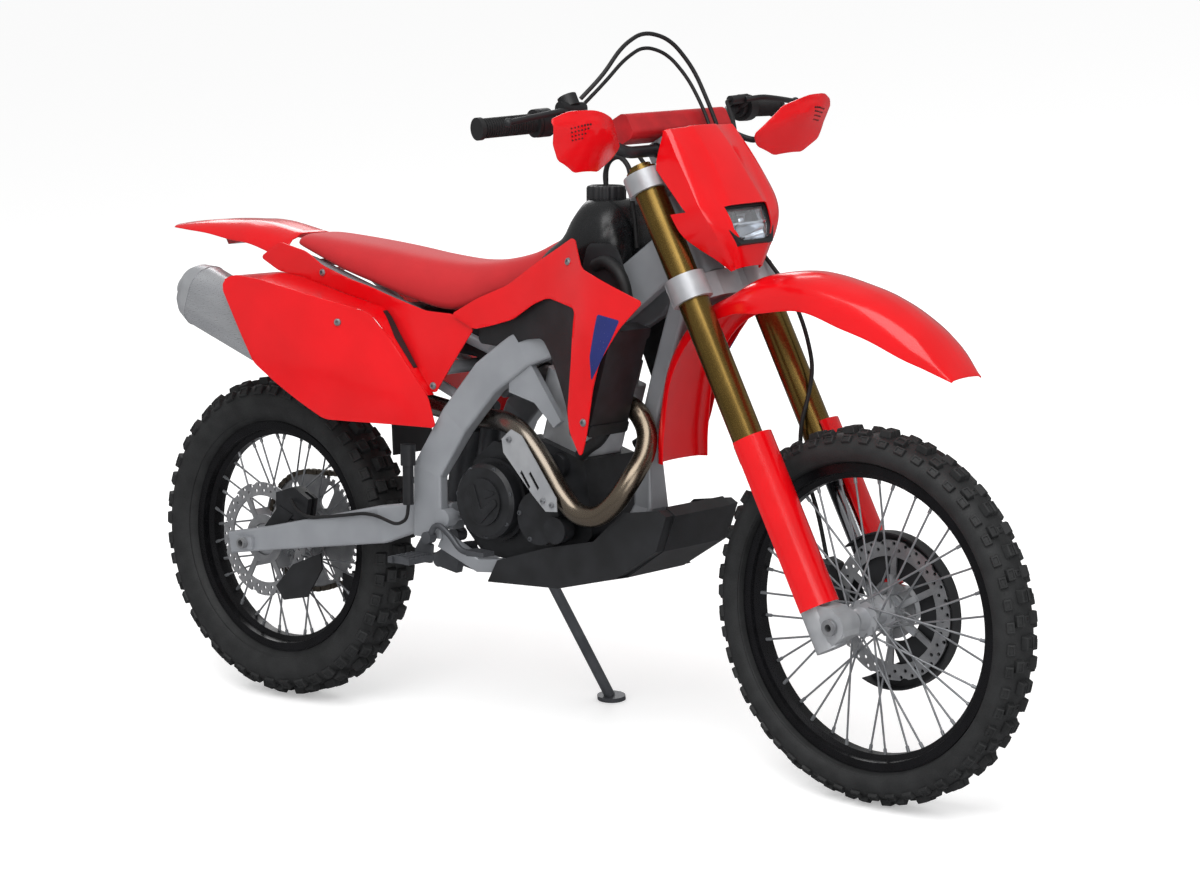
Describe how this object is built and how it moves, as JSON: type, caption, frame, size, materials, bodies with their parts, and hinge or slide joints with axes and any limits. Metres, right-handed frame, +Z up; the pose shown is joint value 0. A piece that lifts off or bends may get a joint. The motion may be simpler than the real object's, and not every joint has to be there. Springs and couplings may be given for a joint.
{
  "type": "enduro motorcycle",
  "caption": "Single-cylinder off-road motorcycle with knobbly wire wheels, long-travel fork, open engine and small headlight, leaning on its side stand.",
  "frame": {"origin": "on the ground under the middle of the parked motorcycle", "axes": "+X forwards, +Y to the rider's left, +Z up; the motorcycle leans towards +Y on its side stand"},
  "size_m": [2.1654, 0.844, 1.3837],
  "materials": {
    "red_plastic": "gloss injection-moulded polypropylene",
    "seat_cover": "ribbed gripper seat cover over foam",
    "black_plastic": "matt injection-moulded polypropylene",
    "frame_alloy": "silver-grey painted cast and extruded aluminium",
    "cast_alloy": "bead-blasted cast aluminium",
    "black_engine": "satin black coated magnesium and aluminium castings",
    "bronze_anodised": "bronze-gold anodised aluminium tube",
    "hard_chrome": "hard-chromed steel tube",
    "exhaust_steel": "stainless exhaust tube with heat tint",
    "silencer_alloy": "brushed aluminium shell",
    "machined_steel": "laser-cut ground stainless steel",
    "black_rim": "black anodised aluminium rim",
    "zinc_spoke": "zinc-plated steel wire",
    "tyre_rubber": "knobbly tyre rubber",
    "rubber": "moulded rubber",
    "chain_steel": "plated roller chain",
    "lens": "clear polycarbonate lens",
    "pad_foam": "printed vinyl over foam",
    "steel_painted": "grey painted steel"
  },
  "bodies": {
    "chassis": {"frame": "frame_alloy", "subframe": "frame_alloy", "swingarm": "frame_alloy", "rear_suspension": "steel_painted", "engine_cases": "black_engine", "cylinder": "cast_alloy", "engine_covers": "black_engine", "sprocket_cover": "black_engine", "exhaust_header": "exhaust_steel", "heat_shield": "silencer_alloy", "silencer": "silencer_alloy", "silencer_cap": "cast_alloy", "radiators": "black_engine", "radiator_louvres": "black_plastic", "hoses": "rubber", "fuel_tank": "black_plastic", "intake": "black_plastic", "seat": "seat_cover", "side_covers": "red_plastic", "number_panels": "red_plastic", "tank_shrouds": "red_plastic", "rear_fender": "red_plastic", "tail_light": "lens", "skid_plate": "black_plastic", "foot_controls": "steel_painted", "rear_brake": "black_engine", "disc_and_chain_guards": "black_plastic", "drive_chain": "chain_steel", "rear_axle": "machined_steel"},
    "steering": {"fork_clamps": "cast_alloy", "fork_tubes": "bronze_anodised", "fork_sliders": "hard_chrome", "axle_lugs": "cast_alloy", "fork_guards": "red_plastic", "front_fender": "red_plastic", "headlight_mask": "red_plastic", "headlight": "lens", "handlebar": "black_engine", "bar_pad": "pad_foam", "grips": "rubber", "bar_controls": "black_plastic", "handguards": "red_plastic", "front_caliper": "black_engine", "front_disc_guard": "black_plastic", "bar_hoses": "rubber", "front_axle": "machined_steel"},
    "front_wheel": {"front_tyre": "tyre_rubber", "front_rim": "black_rim", "front_spokes": "zinc_spoke", "front_hub": "cast_alloy", "front_disc": "machined_steel"},
    "rear_wheel": {"rear_tyre": "tyre_rubber", "rear_rim": "black_rim", "rear_spokes": "zinc_spoke", "rear_hub": "cast_alloy", "rear_disc": "machined_steel", "rear_sprocket": "machined_steel"},
    "side_stand": {"side_stand": "steel_painted"}
  },
  "joints": [
    {"name": "steering_turn", "type": "hinge", "parent": "chassis", "child": "steering", "pos_m": [0.32721, -0.03585, 1.00247], "axis": [-0.4602, 0.1389, 0.8769], "range_deg": [-38.1, 45.9]},
    {"name": "front_wheel_spin", "type": "hinge", "parent": "steering", "child": "front_wheel", "pos_m": [0.73638, -0.14392, 0.34481], "axis": [0.0604, 0.9903, -0.1252], "continuous": true},
    {"name": "rear_wheel_spin", "type": "hinge", "parent": "chassis", "child": "rear_wheel", "pos_m": [-0.7455, -0.14136, 0.33629], "axis": [0, 0.9877, -0.1564], "continuous": true},
    {"name": "side_stand_fold", "type": "hinge", "parent": "chassis", "child": "side_stand", "pos_m": [-0.1545, -0.01824, 0.3082], "axis": [0.0992, 0.9618, 0.2552], "range_deg": [0, 103.9]}
  ]
}
